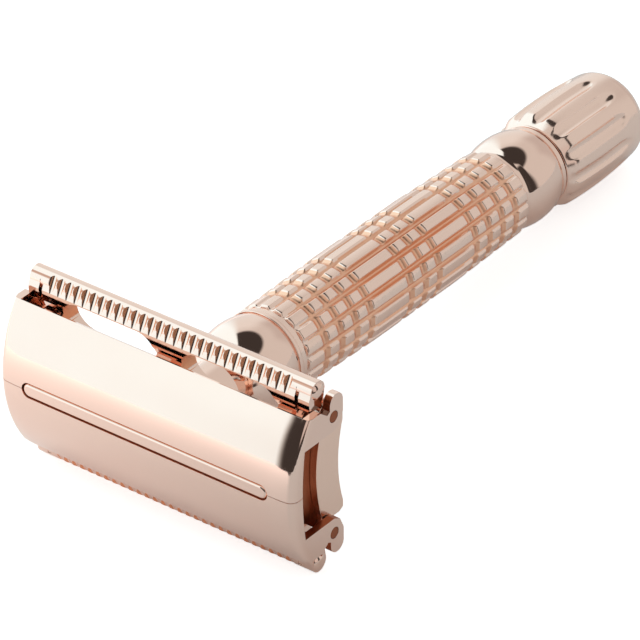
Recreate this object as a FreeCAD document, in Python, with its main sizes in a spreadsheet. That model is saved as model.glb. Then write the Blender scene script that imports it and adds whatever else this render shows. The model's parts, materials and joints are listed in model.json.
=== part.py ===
"""Butterfly safety razor: a two-door head on a knurled handle, opened by the knob at its foot.

Every piece is drawn with the handle's axis along +Y (the doors' front at Y = 0), the head's length
along X and the two guard bars at +Z and -Z. One placement then lays the razor down on its lower
guard bar and its knob, with +Z up and the surface it lies on at Z = 0.
"""
import FreeCAD, Part
import math
import os
import re
import Sketcher

# ---------------------------------------------------------------------------------------------
# Driving dimensions, in millimetres: (name, value or formula, meaning)
# ---------------------------------------------------------------------------------------------
SIZES = [
    # Doors
    ("head_length", "42", "over the doors' end plates"),
    ("door_radius", "17.2", "outer surface of the closed doors"),
    ("door_half_width", "9.57", "handle axis to a door's blade-side edge"),
    ("door_sheet", "0.9", "wall of the curved door"),
    ("end_plate", "1", "wall of a door's end plate"),
    ("end_round", "1.1", "rounding where a door turns into its end plate"),
    ("end_lead", "2.8", "door's end to the place where it starts to bend towards that rounding"),
    ("end_lead_radius", "14.5", "curve of that gentle bend"),
    ("seam_gap", "0.06", "between the two closed doors"),
    ("strip_depth", "1.9", "front to the inner edge of the end plates at the seam"),
    ("strip_swell_radius", "38", "curve of that inner edge"),
    ("window_half_height", "5.8", "opening between the end plates of the two doors"),
    ("plate_top", "9.3", "handle axis to the outer edge of an end plate"),
    ("notch_front", "5.2", "front of the doors to the notch that takes the end of a guard bar"),
    ("notch_floor", "8.4", "handle axis to the floor of that notch"),
    ("pin_depth", "7.5", "front of the doors to their pins"),
    ("pin_offset", "7.7", "handle axis to the door pins"),
    ("pin_radius", "0.7", "door pin"),
    ("pin_fit", "0.03", "radial play of a door on its pins"),
    ("ear_back", "1.65", "pin to the back of the ear"),
    ("ear_heel", "1", "pin to the ear's lower back corner, backwards"),
    ("ear_tip_radius", "1.15", "rounded tip of the ear"),
    ("ear_tip_rise", "1.6", "pin to the centre of the tip, outwards"),
    ("ear_tip_back", "0.5", "pin to the centre of the tip, backwards"),
    # Pieces that the knob lifts
    ("bar_width", "1.74", "centre bar across"),
    ("bar_length", "34.8", "centre bar along the head"),
    ("bar_play", "0.15", "centre bar to the slot in the doors"),
    ("tray_gap", "0.2", "inside of the doors to the blade tray"),
    ("tray_sheet", "1.2", "blade tray"),
    ("tray_inset", "0.5", "tray's edge to the end of the guard's hollow face"),
    ("tray_end_inset", "0.4", "tray's end to the end bracket"),
    ("flange_half_width", "3", "end flange of the tray that carries an end bracket"),
    ("flange_sheet", "0.9", "wall of that flange"),
    ("flange_lap", "2.2", "how far the flange covers the bracket"),
    ("side_play", "0.15", "end bracket to a door's end plate"),
    ("bracket_sheet", "0.95", "end bracket"),
    ("bracket_advance", "1.7", "bracket's hollow front edge to the pins"),
    ("bracket_waist", "3.95", "depth of the bracket at its middle"),
    ("bracket_curve", "17.7", "hollow edges of the bracket"),
    ("bracket_drop", "1.3", "pins to the end of the bracket's wing"),
    ("bracket_flare", "1", "straight end of the bracket's hollow back edge"),
    ("bracket_corner", "0.7", "cut corner of the wing"),
    ("bracket_boss_radius", "1.2", "bracket around a door pin"),
    ("rod_radius", "1.6", "lift rod"),
    ("rod_fit", "0.08", "radial play of the lift rod"),
    ("rod_tenon", "1.2", "radius of the rod's riveted end in the tray"),
    ("rod_flats", "2.4", "across the two flats that keep the rod from turning"),
    ("rod_lap", "12", "length of the rod's thread inside the spindle"),
    ("lift", "4.5", "travel of the tray while the doors open"),
    ("stop_play", "0.1", "bush to the stop ring when the doors are open"),
    ("stop_sheet", "1.2", "stop ring"),
    ("stop_radius", "2.9", "stop ring"),
    # Guard
    ("guard_gap", "0.2", "inside of the tray to the guard"),
    ("guard_back", "7.9", "front of the doors to the flat back of the guard"),
    ("guard_arm_back", "7.1", "front of the doors to the back of the guard beside its bars"),
    ("guard_bar_radius", "1.25", "rounded outer edge of a guard bar"),
    ("bar_rise", "2.01", "centre of the ear's tip to the centre of the bar's rounding, outwards"),
    ("bar_advance", "1.91", "the same, towards the front"),
    ("guard_face", "1.44", "bar centre to the face of the guard, towards the front"),
    ("face_bulge", "0.1", "how far the face stands forward beside the bar"),
    ("face_bulge_drop", "0.7", "bar centre to that place"),
    ("guard_crease", "2.06", "bar centre to the crease on the face"),
    ("crease_run", "0.95", "crease to the end of the guard's hollow face"),
    ("peg_reach", "0.3", "end of a guard bar in the notch of an end plate"),
    ("peg_radius", "1.2", "that end"),
    ("peg_round", "0.9", "rounding of that end"),
    ("peg_play", "0.1", "guard's end lugs to an end plate"),
    ("web_width", "3.5", "guard between the two lather slots of a side"),
    ("slot_width", "5", "lather slot across"),
    ("slot_margin", "0.86", "lather slot to the centre of the guard bar"),
    ("slot_end_margin", "2.5", "lather slot to the end of the guard's body"),
    ("tooth_count", "29", "scallops along each guard bar"),
    ("tooth_radius", "0.72", "scallop"),
    ("tooth_bite", "0.25", "depth of a scallop in the bar's rounding"),
    ("tooth_tilt", "28.4", "scallop to the plane of the head's length, degrees"),
    ("tooth_length", "3.6", "cutter of a scallop"),
    ("tooth_margin", "1.24", "outermost scallop to the upright notch"),
    ("notch_rise", "0.45", "end of the upright notch beyond the bar's centre"),
    ("notch_inset", "1", "upright notch of a bar to the end bracket"),
    ("notch_width", "0.5", "that notch"),
    ("notch_depth", "0.6", "that notch"),
    ("boss_radius", "3.6", "round boss behind the guard"),
    ("spigot_radius", "2.6", "guard's spigot in the collar"),
    ("spigot_length", "3", "that spigot"),
    # Handle
    ("collar_start", "12.9", "front of the doors to the collar"),
    ("collar_dome_length", "8.2", "dome of the collar"),
    ("collar_dome_radius", "5.55", "collar at the fine step behind its dome"),
    ("collar_dome_bulge", "9", "curve of the dome"),
    ("collar_step_width", "0.3", "fine step"),
    ("collar_step_depth", "0.15", "fine step"),
    ("collar_rim_width", "0.7", "rim of the collar"),
    ("collar_rim_radius", "5.65", "rim of the collar"),
    ("barrel_length", "43.6", "knurled barrel"),
    ("barrel_neck", "0.9", "plain neck between the collar and the knurling"),
    ("barrel_neck_radius", "5.35", "that neck"),
    ("barrel_end_radius", "5.67", "barrel at either end of the knurling"),
    ("barrel_middle_radius", "5.96", "barrel along its middle"),
    ("taper_length", "13.5", "taper at either end of the knurling"),
    ("barrel_edge", "0.4", "slope at the start and rounded edge at the end of the knurling"),
    ("bore_radius", "3.2", "inside of the barrel"),
    ("flute_count", "18", "lengthwise knurl grooves"),
    ("flute_width", "1", "lengthwise knurl groove at the barrel's middle"),
    ("flute_end_depth", "0.28", "that groove at either end of the barrel"),
    ("ring_width", "1.1", "round knurl groove at the barrel's surface"),
    ("ring_depth", "0.28", "that groove"),
    ("ring_pitch", "2.72", "from round groove to round groove"),
    ("first_rings", "4", "round grooves of the first band"),
    ("second_rings", "3", "the same of the second band"),
    ("third_rings", "4", "the same of the third band"),
    ("first_band", "4.2", "barrel's start to the first round groove of the first band"),
    ("second_band", "19.9", "the same of the second band"),
    ("third_band", "32.7", "the same of the third band"),
    ("bush_length", "10", "guide bush"),
    ("cove_length", "0.7", "neck between the barrel and the bead"),
    ("cove_radius", "5.15", "that neck"),
    ("bead_slope", "0.7", "slope from the neck to the bead"),
    ("bead_length", "5.6", "bead along the handle"),
    ("bead_edge_radius", "5.45", "bead at either edge"),
    ("bead_swell_radius", "9.8", "curve of the bead"),
    ("neck_slope", "0.4", "slope from the bead to the neck before the knob"),
    ("neck_length", "0.7", "that neck"),
    ("neck_radius", "5.25", "that neck"),
    ("bead_spigot", "1.3", "bead's spigot in the barrel"),
    # Knob and spindle
    ("washer_sheet", "0.5", "thrust washer"),
    ("axial_play", "0.05", "play of the spindle along the handle"),
    ("spindle_radius", "2.5", "spindle"),
    ("spindle_fit", "0.08", "radial play of the spindle in the bead"),
    ("spindle_offset", "23.9", "barrel's start to the spindle's open end"),
    ("rod_room", "2", "end of the lift rod to the floor of the spindle's thread"),
    ("spindle_grip", "10.05", "spindle's end in the knob"),
    ("flange_radius", "3.1", "spindle's flange"),
    ("flange_width", "1.5", "spindle's flange"),
    ("spring_sheet", "0.45", "spring washer"),
    ("spring_radius", "4.2", "spring washer"),
    ("knob_play", "0.15", "bead to the knob"),
    ("recess_depth", "0.55", "knob's pocket for the spring washer"),
    ("recess_play", "0.2", "radial play of the washer in that pocket"),
    ("knob_length", "16.45", "knob"),
    ("knob_front_radius", "5.3", "knob's front face"),
    ("knob_shoulder", "1.45", "knob's start to the end of its shoulder"),
    ("knob_peak", "6.45", "knob's start to its widest place"),
    ("knob_radius", "6.35", "knob at its widest"),
    ("knob_swell_radius", "71", "lengthwise curve of the knob"),
    ("knob_round", "2.2", "rounding of the knob's end"),
    ("knob_flute_count", "12", "flutes of the knob"),
    ("knob_flute_radius", "1.6", "flute"),
    ("knob_flute_floor", "5.75", "handle axis to the floor of a flute at the knob's front"),
    ("knob_flute_length", "12.4", "knob's start to the place where a flute runs out"),
    ("knob_flute_lead", "1.1", "start of a flute's cutter in front of the knob"),
    # What follows for the doors
    ("seam_half", "=seam_gap / 2", "middle to a door"),
    ("door_inner_radius", "=door_radius - door_sheet", "inside of the doors"),
    ("door_edge", "=door_radius - sqrt(door_radius ^ 2 - door_half_width ^ 2)", "depth of a door's edge"),
    ("inner_half_width", "=door_half_width * door_inner_radius / door_radius", "the same edge, inside"),
    ("inner_edge", "=door_radius - sqrt(door_inner_radius ^ 2 - inner_half_width ^ 2)", "its depth, inside"),
    ("seam_front", "=door_radius - sqrt(door_radius ^ 2 - seam_half ^ 2)", "depth of the seam, outside"),
    ("seam_back", "=door_radius - sqrt(door_inner_radius ^ 2 - seam_half ^ 2)", "depth of the seam, inside"),
    ("plate_corner", "=door_radius - sqrt(door_radius ^ 2 - plate_top ^ 2)", "depth of the plate's corner"),
    ("strip_centre", "=strip_depth + strip_swell_radius", "depth of the centre of the strip's edge"),
    ("strip_seam", "=strip_centre - sqrt(strip_swell_radius ^ 2 - seam_half ^ 2)", "strip at the seam"),
    ("strip_end", "=strip_centre - sqrt(strip_swell_radius ^ 2 - window_half_height ^ 2)",
     "depth of the window's corner"),
    ("plate_inside", "=head_length / 2 - end_plate", "middle of the head to the inside of an end plate"),
    ("plate_middle", "=head_length / 2 - end_plate / 2", "middle of the head to the middle of an end plate"),
    ("bend_start", "=head_length / 2 - end_lead", "middle of the head to the start of a door's bend"),
    ("bend_sine", "=(end_lead - end_round) / (end_lead_radius - end_round)", "sine of the bend's angle"),
    ("bend_cosine", "=sqrt(1 - bend_sine ^ 2)", "its cosine"),
    ("bend_stop", "=bend_start + end_lead_radius * bend_sine", "middle of the head to the end of the bend"),
    ("bend_height", "=door_radius - end_lead_radius * (1 - bend_cosine)", "curve's centre to the bend's end"),
    ("end_height", "=door_radius - end_lead_radius + (end_lead_radius - end_round) * bend_cosine",
     "curve's centre to the flat of an end plate"),
    ("hole_radius", "=pin_radius + pin_fit", "hole of an ear"),
    ("tip_depth", "=pin_depth + ear_tip_back", "depth of the centre of the ear's tip"),
    ("tip_height", "=pin_offset + ear_tip_rise", "handle axis to that centre"),
    ("bar_round", "=bar_width / 2", "round end of the centre bar"),
    ("bar_reach", "=bar_length / 2 - bar_round", "middle of the head to the centre of that end"),
    ("bar_slot_round", "=bar_round + bar_play", "round end of the slot for the bar"),
    # What follows for the guard
    ("tray_radius", "=door_inner_radius - tray_gap", "outside of the tray"),
    ("tray_inner_radius", "=tray_radius - tray_sheet", "inside of the tray"),
    ("guard_radius", "=tray_inner_radius - guard_gap", "hollow face of the guard"),
    ("guard_bar_depth", "=tip_depth - bar_advance", "depth of the centre of a bar's rounding"),
    ("bar_centre", "=tip_height + bar_rise", "handle axis to that centre"),
    ("guard_half_width", "=bar_centre + guard_bar_radius", "handle axis to the outside of a bar"),
    ("crease_height", "=bar_centre - guard_crease", "handle axis to the crease"),
    ("arch_end", "=crease_height - crease_run", "handle axis to the end of the hollow face"),
    ("arch_end_depth", "=door_radius - sqrt(guard_radius ^ 2 - arch_end ^ 2)", "its depth"),
    ("face_depth", "=guard_bar_depth - guard_face", "depth of the face"),
    ("bar_front", "=guard_bar_depth - guard_bar_radius", "depth of the front of a bar's rounding"),
    ("bar_back", "=guard_bar_depth + guard_bar_radius", "depth of the back of a bar's rounding"),
    ("bar_floor", "=bar_centre - guard_bar_radius", "handle axis to the inner side of a bar"),
    ("slot_centre", "=bar_centre - slot_margin - slot_width / 2", "handle axis to the middle of a slot"),
    ("slot_round", "=slot_width / 2", "round end of a slot"),
    ("slot_floor", "=slot_centre - slot_round", "handle axis to a slot"),
    # What follows for the lifted pieces
    ("tray_half_width", "=arch_end - tray_inset", "handle axis to the tray's edge"),
    ("tray_front", "=door_radius - tray_radius", "depth of the tray, outside"),
    ("tray_back", "=door_radius - tray_inner_radius", "depth of the tray, inside"),
    ("tray_edge", "=door_radius - sqrt(tray_radius ^ 2 - tray_half_width ^ 2)", "depth of its edge, outside"),
    ("tray_edge_inner", "=door_radius - sqrt(tray_inner_radius ^ 2 - tray_half_width ^ 2)",
     "depth of its edge, inside"),
    ("bar_foot", "=door_radius - sqrt(tray_radius ^ 2 - bar_width ^ 2)", "depth of the tray beside the bar"),
    ("bracket_outer", "=plate_inside - side_play", "middle of the head to the outside of an end bracket"),
    ("bracket_inner", "=bracket_outer - bracket_sheet", "middle of the head to its inside"),
    ("bracket_middle", "=bracket_outer - bracket_sheet / 2", "middle of the head to its middle"),
    ("bracket_front", "=pin_depth - bracket_advance", "depth of its hollow front edge"),
    ("bracket_back", "=bracket_front + bracket_waist", "depth of its hollow back edge"),
    ("wing", "=pin_offset - bracket_drop", "handle axis to the end of its wing"),
    ("wing_front", "=bracket_front + bracket_curve - sqrt(bracket_curve ^ 2 - wing ^ 2)", "its depth"),
    ("flare", "=wing - bracket_flare", "handle axis to the end of the hollow back edge"),
    ("wing_back", "=bracket_back + bracket_curve - sqrt(bracket_curve ^ 2 - flare ^ 2)", "its depth"),
    ("flange_inner", "=bracket_inner - flange_sheet", "middle of the head to the inside of a flange"),
    ("tray_length", "=2 * bracket_inner - 2 * tray_end_inset", "tray along the head"),
    ("body_end", "=flange_inner - guard_gap", "middle of the head to the end of the guard's body"),
    ("lug_end", "=plate_inside - peg_play", "middle of the head to the outside of the guard's end lugs"),
    ("peg_end", "=plate_inside + peg_reach", "middle of the head to the rounded end of a guard bar"),
    ("peg_bend", "=peg_end - peg_round", "middle of the head to the start of that rounding"),
    ("lug_floor", "=pin_offset + bracket_boss_radius + guard_gap", "handle axis to the guard's lugs"),
    ("slot_start", "=web_width / 2 + slot_round", "middle of the head to the centre of a slot's inner end"),
    ("slot_stop", "=body_end - slot_end_margin - slot_round", "the same of its outer end"),
    ("upright_notch", "=bracket_inner - notch_inset", "middle of the head to a bar's upright notch"),
    ("tooth_row", "=2 * upright_notch - 2 * tooth_margin", "first to last scallop"),
    ("tooth_reach", "=guard_bar_radius - tooth_bite + tooth_radius", "bar centre to a scallop's centre line"),
    ("tooth_start", "=guard_bar_depth - tooth_reach * cos(tooth_tilt) - tooth_length / 2 * sin(tooth_tilt)",
     "depth of the start of that line"),
    ("tooth_height", "=bar_centre + tooth_reach * sin(tooth_tilt) - tooth_length / 2 * cos(tooth_tilt)",
     "handle axis to the start of that line"),
    # What follows along the handle
    ("guide_hole", "=rod_radius + rod_fit", "hole for the lift rod"),
    ("flat_half", "=rod_flats / 2 + rod_fit", "half the hole across its flats"),
    ("flat_height", "=sqrt(guide_hole ^ 2 - flat_half ^ 2)", "half the length of such a flat"),
    ("spigot_end", "=collar_start + spigot_length", "depth of the spigot's end and of the guide bush"),
    ("bush_end", "=spigot_end + bush_length", "depth of the bush's end"),
    ("stop_start", "=bush_end + lift + stop_play", "depth of the stop ring"),
    ("collar_step", "=collar_start + collar_dome_length", "depth of the fine step"),
    ("collar_rim", "=collar_step + collar_step_width", "depth of the rim"),
    ("barrel_start", "=collar_rim + collar_rim_width", "depth of the barrel"),
    ("barrel_end", "=barrel_start + barrel_length", "depth of the barrel's end"),
    ("neck_stop", "=barrel_start + barrel_neck", "depth of the end of the barrel's plain neck"),
    ("knurl_start", "=neck_stop + barrel_edge", "depth of the knurling"),
    ("flute_floor", "=barrel_end_radius - flute_end_depth", "handle axis to the floor of a groove"),
    ("flute_middle_depth", "=barrel_middle_radius - flute_floor", "depth of a groove at the middle"),
    ("barrel_rise", "=(barrel_middle_radius - barrel_end_radius) / taper_length", "slope of the tapers"),
    ("spindle_hole", "=spindle_radius + spindle_fit", "hole for the spindle"),
    ("spigot_face", "=barrel_end - bead_spigot", "depth of the bead's spigot"),
    ("washer_start", "=spigot_face - washer_sheet", "depth of the thrust washer"),
    ("flange_end", "=washer_start - axial_play", "depth of the spindle's flange, back"),
    ("flange_start", "=flange_end - flange_width", "depth of the spindle's flange, front"),
    ("cove_end", "=barrel_end + cove_length", "depth of the neck's end"),
    ("bead_start", "=cove_end + bead_slope", "depth of the bead"),
    ("bead_stop", "=bead_start + bead_length", "depth of the bead's end"),
    ("neck_start", "=bead_stop + neck_slope", "depth of the neck before the knob"),
    ("bead_end", "=neck_start + neck_length", "depth of the face that the knob turns against"),
    ("spindle_start", "=barrel_start + spindle_offset", "depth of the spindle's open end"),
    ("rod_end", "=spindle_start + rod_lap", "depth of the rod's end"),
    ("knob_start", "=bead_end + knob_play", "depth of the knob"),
    ("recess_floor", "=knob_start + recess_depth", "depth of the pocket's floor"),
    ("recess_radius", "=spring_radius + recess_play", "pocket for the spring washer"),
    ("spindle_end", "=knob_start + spindle_grip", "depth of the spindle's end"),
    ("spindle_floor", "=rod_end + rod_room", "depth of the floor of the spindle's thread"),
    ("shoulder_depth", "=knob_start + knob_shoulder", "depth of the knob's shoulder"),
    ("peak_depth", "=knob_start + knob_peak", "depth of the knob's widest place"),
    ("knob_end", "=knob_start + knob_length", "depth of the knob's end: the razor's length"),
    ("round_depth", "=knob_end - knob_round", "depth of the rounding of its end"),
    ("knob_centre", "=knob_radius - knob_swell_radius", "centre of the knob's curve, from the axis"),
    ("shoulder_radius", "=knob_centre + sqrt(knob_swell_radius ^ 2 - (peak_depth - shoulder_depth) ^ 2)",
     "knob at its shoulder"),
    ("knob_end_radius", "=knob_centre + sqrt(knob_swell_radius ^ 2 - (round_depth - peak_depth) ^ 2)",
     "knob where its end's rounding starts"),
    ("runout_radius", "=knob_centre + sqrt(knob_swell_radius ^ 2 - (knob_flute_length - knob_peak) ^ 2)",
     "knob where a flute runs out"),
    ("flute_tilt", "=atan((runout_radius - knob_flute_floor) / knob_flute_length)", "slope of its floor"),
    # How it lies: one straight line touches the guard bar's rounding and the knob's curve
    ("rest_reach", "=peak_depth - guard_bar_depth", "between the two touching curves, along the handle"),
    ("rest_drop", "=bar_centre - knob_centre", "between their centres, across"),
    ("rest_span", "=sqrt(rest_reach ^ 2 + rest_drop ^ 2)", "between their centres"),
    ("lean", "=atan(rest_drop / rest_reach) + asin((guard_bar_radius - knob_swell_radius) / rest_span)",
     "angle of the handle to the surface"),
    ("rest_height", "=guard_bar_depth * sin(lean) + bar_centre * cos(lean) + guard_bar_radius",
     "surface to the front of the doors on the handle's axis"),
    ("lying_front", "=door_radius * cos(lean) - door_radius", "lying razor: its foremost point"),
    ("lying_back", "=round_depth * cos(lean) + (knob_end_radius - knob_round) * sin(lean) + knob_round",
     "lying razor: its rearmost point"),
    ("lying_shift", "=(lying_front + lying_back) / 2", "front of the doors to the middle of its length"),
]

# Round knurl grooves, band by band
COUNTS = {name: int(text) for name, text, meaning in SIZES if name.endswith("_rings")}
RINGS = []
for count_name, count in COUNTS.items():
    band_start = count_name.replace("_rings", "_band")
    for step in range(count):
        groove = f"{band_start}_{step + 1}"
        RINGS.append(groove)
        SIZES.append((groove, f"=barrel_start + {band_start} + {step} * ring_pitch", "a groove's depth"))
        SIZES.append((f"{groove}_floor", "=barrel_end_radius - ring_depth + barrel_rise * min(taper_length;"
                      f" {groove} - knurl_start; barrel_end - {groove})", "radius of its floor"))

document = FreeCAD.newDocument("safety_razor")
dims = document.addObject("Spreadsheet::Sheet", "dims")
NAMES = {name for name, text, meaning in SIZES}


# Arc directions as seen in a sketch
LEFT, RIGHT = 1, -1


def fill_sheet():
    """Write every dimension, its name and its meaning into the sheet."""
    for row, (name, text, meaning) in enumerate(SIZES, start=1):
        dims.set(f"A{row}", name)
        dims.set(f"B{row}", text)
        dims.setAlias(f"B{row}", name)
        dims.set(f"C{row}", meaning)
    document.recompute()


# ---------------------------------------------------------------------------------------------
# Helpers: a size is written as a sum of products of sheet names, such as "lift + 2 * rod_fit"
# ---------------------------------------------------------------------------------------------
def bound(size):
    """The expression that ties a size to the sheet."""
    return re.sub(r"[a-z_]\w*", lambda word: "dims." + word.group() if word.group() in NAMES
                  else word.group(), str(size))


def number(size):
    """The value of a size."""
    total = 0.0
    for sign, term in re.findall(r"([+-]?)\s*([^+-]+)", str(size)):
        product, divide = 1.0, False
        for part in re.split(r"([*/])", term):
            part = part.strip()
            if part in ("*", "/"):
                divide = part == "/"
                continue
            factor = float(getattr(dims.get(part), "Value", dims.get(part))) if part in NAMES else float(part)
            product = product / factor if divide else product * factor
        total += -product if sign == "-" else product
    return total


def bind(target, path, size):
    """Tie a property to a size."""
    target.setExpression(path, bound(size))


def lay_down(body):
    """Give a piece the common placement of the razor as it lies."""
    body.setExpression("Placement", "placement(vector(0; -dims.lying_shift; dims.rest_height);"
                                    " rotation(vector(1; 0; 0); -dims.lean))")


def new_body(name):
    """A body of the document with the razor's common placement."""
    body = document.addObject("PartDesign::Body", name)
    body.Label = name
    lay_down(body)
    return body


def origin_feature(body, role):
    """One of a body's own axes or planes."""
    return next(item for item in body.Origin.OriginFeatures if item.Role == role)


def new_sketch(body, plane, offset="0"):
    """An empty sketch on one of a body's own planes, or a distance in front of it."""
    sketch = body.newObject("Sketcher::SketchObject", "sketch")
    sketch.AttachmentSupport = [(origin_feature(body, plane), "")]
    sketch.MapMode = "FlatFace"
    if offset != "0":
        bind(sketch, "AttachmentOffset.Base.z", offset)
    return sketch


def hold(sketch, edge, end, axis, size, flip=False):
    """Fix one coordinate of an edge's end: axis is "X" or "Y"."""
    value = -number(size) if flip else number(size)
    if abs(value) < 1e-9:
        sketch.addConstraint(Sketcher.Constraint("PointOnObject", edge, end, -2 if axis == "X" else -1))
        return
    text = bound(size)
    points = (-1, 1, edge, end) if value > 0 else (edge, end, -1, 1)
    constraint = sketch.addConstraint(Sketcher.Constraint("Distance" + axis, *points, abs(value)))
    sketch.setExpression(f"Constraints[{constraint}]", text if (value > 0) != flip else f"-({text})")


def arc_between(start, end, radius, turn):
    """A minor arc from start to end; turn 1 is anticlockwise, -1 clockwise."""
    chord = end - start
    side = FreeCAD.Vector(-chord.y, chord.x, 0) * (turn / chord.Length)
    reach = math.sqrt(max(radius ** 2 - chord.Length ** 2 / 4, 0))
    centre = (start + end) * 0.5 + side * reach
    first, last = (start, end) if turn > 0 else (end, start)
    angles = [math.atan2(point.y - centre.y, point.x - centre.x) for point in (first, last)]
    if angles[1] < angles[0]:
        angles[1] += 2 * math.pi
    return Part.ArcOfCircle(Part.Circle(centre, FreeCAD.Vector(0, 0, 1), radius), *angles)


def outline(body, plane, corners, flip=False, offset="0"):
    """A closed sketch through corners (x, y) or (x, y, radius, turn).

    The radius and turn belong to the arc from that corner to the next one. With flip, the
    outline is mirrored in the sketch's first axis.
    """
    sketch = new_sketch(body, plane, offset)
    mirror = -1 if flip else 1
    points = [FreeCAD.Vector(number(corner[0]), mirror * number(corner[1]), 0) for corner in corners]
    ends = []
    for index, corner in enumerate(corners):
        start, end = points[index], points[(index + 1) % len(points)]
        if len(corner) == 2:
            edge = sketch.addGeometry(Part.LineSegment(start, end))
            ends.append((edge, 1, 2))
            continue
        turn = corner[3] * mirror
        edge = sketch.addGeometry(arc_between(start, end, number(corner[2]), turn))
        ends.append((edge, 1, 2) if turn > 0 else (edge, 2, 1))
        constraint = sketch.addConstraint(Sketcher.Constraint("Radius", edge, number(corner[2])))
        bind(sketch, f"Constraints[{constraint}]", corner[2])
    for index, (edge, first, last) in enumerate(ends):
        next_edge, next_first = ends[(index + 1) % len(ends)][:2]
        sketch.addConstraint(Sketcher.Constraint("Coincident", edge, last, next_edge, next_first))
        hold(sketch, edge, first, "X", corners[index][0])
        hold(sketch, edge, first, "Y", corners[index][1], flip)
    return sketch


def circles(body, plane, rounds):
    """A sketch of full circles, each given as (x, y, radius)."""
    sketch = new_sketch(body, plane)
    for x, y, radius in rounds:
        centre = FreeCAD.Vector(number(x), number(y), 0)
        edge = sketch.addGeometry(Part.Circle(centre, FreeCAD.Vector(0, 0, 1), number(radius)))
        hold(sketch, edge, 3, "X", x)
        hold(sketch, edge, 3, "Y", y)
        constraint = sketch.addConstraint(Sketcher.Constraint("Radius", edge, number(radius)))
        bind(sketch, f"Constraints[{constraint}]", radius)
    return sketch


def block(x_from, x_to, y_from, y_to):
    """The corners of a rectangle."""
    return [(x_from, y_from), (x_to, y_from), (x_to, y_to), (x_from, y_to)]


def obround(low, high, middle, radius):
    """The corners of a slot with round ends, centred on low and high along its first axis."""
    return [(low, f"{middle} - {radius}"), (high, f"{middle} - {radius}", radius, LEFT),
            (f"{high} + {radius}", middle, radius, LEFT), (high, f"{middle} + {radius}"),
            (low, f"{middle} + {radius}", radius, LEFT), (f"{low} - {radius}", middle, radius, LEFT)]


def extrude(body, kind, sketch, length):
    """Pad or Pocket a sketch by a length, half of it to either side of its plane."""
    feature = body.newObject("PartDesign::" + kind, kind.lower())
    feature.Profile = sketch
    feature.SideType = "Symmetric"
    bind(feature, "Length", length)
    return feature


def turn_profile(body, kind, sketch, axis="V_Axis"):
    """Revolution or Groove of an XY sketch about its upright axis, which is the handle's."""
    feature = body.newObject("PartDesign::" + kind, kind.lower())
    feature.Profile = sketch
    feature.ReferenceAxis = (sketch, [axis])
    feature.Angle = 360
    return feature


def place(feature, x, y, z, axis="0; 0; 1", angle="0"):
    """Put a primitive at a point, turned about an axis."""
    feature.setExpression("Placement", f"placement(vector({bound(x)}; {bound(y)}; {bound(z)});"
                                       f" rotation(vector({axis}); {bound(angle)}))")


def solid_box(body, kind, x_range, y_range, z_range):
    """Additive or Subtractive box between six planes."""
    feature = body.newObject(f"PartDesign::{kind}Box", "box")
    for path, (low, high) in zip(("Length", "Width", "Height"), (x_range, y_range, z_range)):
        feature.setExpression(path, f"({bound(high)}) - ({bound(low)})")
    place(feature, x_range[0], y_range[0], z_range[0])
    return feature


def solid_cylinder(body, kind, radius, length, x, y, z, axis="0; 0; 1", angle="0"):
    """Additive or Subtractive cylinder, drawn along +Z and then turned."""
    feature = body.newObject(f"PartDesign::{kind}Cylinder", "cylinder")
    bind(feature, "Radius", radius)
    bind(feature, "Height", length)
    place(feature, x, y, z, axis, angle)
    return feature


def axis_cylinder(body, kind, radius, start, end):
    """Additive or Subtractive cylinder about the handle's axis."""
    return solid_cylinder(body, kind, radius, f"{end} - {start}", 0, start, 0, "1; 0; 0", -90)


def cross_hole(body, radius, y, z):
    """Hole along the head, right through the body."""
    return solid_cylinder(body, "Subtractive", radius, "2 * head_length",
                          "-1 * head_length", y, z, "0; 1; 0", 90)


def repeat_round(body, features, count):
    """Repeat features about the handle's axis."""
    pattern = body.newObject("PartDesign::PolarPattern", "round_pattern")
    pattern.Originals = features
    pattern.Axis = (origin_feature(body, "Y_Axis"), [""])
    pattern.Angle = 360
    bind(pattern, "Occurrences", count)
    body.Tip = pattern
    return pattern


def repeat_along(body, features, length, count):
    """Repeat features along the head, over a length."""
    pattern = body.newObject("PartDesign::LinearPattern", "row_pattern")
    pattern.Originals = features
    pattern.Direction = (origin_feature(body, "X_Axis"), [""])
    bind(pattern, "Length", length)
    bind(pattern, "Occurrences", count)
    body.Tip = pattern
    return pattern


def mirror_ends(body, features):
    """Repeat features of the right end at the left end."""
    pattern = body.newObject("PartDesign::Mirrored", "mirror")
    pattern.Originals = features
    pattern.MirrorPlane = (origin_feature(body, "YZ_Plane"), [""])
    body.Tip = pattern
    return pattern


def ring(name, inner, outer, start, end):
    """A plain ring about the handle's axis."""
    return turned(name, block(inner, outer, start, end))


def turned(name, corners):
    """A piece turned about the handle's axis; corners are (radius, distance along the handle)."""
    body = new_body(name)
    turn_profile(body, "Revolution", outline(body, "XY_Plane", corners))
    return body


# ---------------------------------------------------------------------------------------------
# Pieces that the knob lifts
# ---------------------------------------------------------------------------------------------
def blade_tray():
    """Arched plate that clamps the blade, with a flange at each end for the brackets."""
    body = new_body("blade_tray")
    arch = [("tray_edge", "-1 * tray_half_width", "tray_radius", RIGHT),
            ("tray_edge", "tray_half_width"),
            ("tray_edge_inner", "tray_half_width", "tray_inner_radius", LEFT),
            ("tray_edge_inner", "-1 * tray_half_width")]
    extrude(body, "Pad", outline(body, "YZ_Plane", arch), "tray_length")
    along = ("tray_front + tray_sheet / 2", "bracket_front + flange_lap")
    across = ("-1 * flange_half_width", "flange_half_width")
    solid_box(body, "Additive", ("flange_inner", "bracket_inner"), along, across)
    solid_box(body, "Additive", ("-1 * bracket_inner", "-1 * flange_inner"), along, across)
    axis_cylinder(body, "Subtractive", "rod_tenon", 0, "2 * tray_back")
    return body


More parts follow.
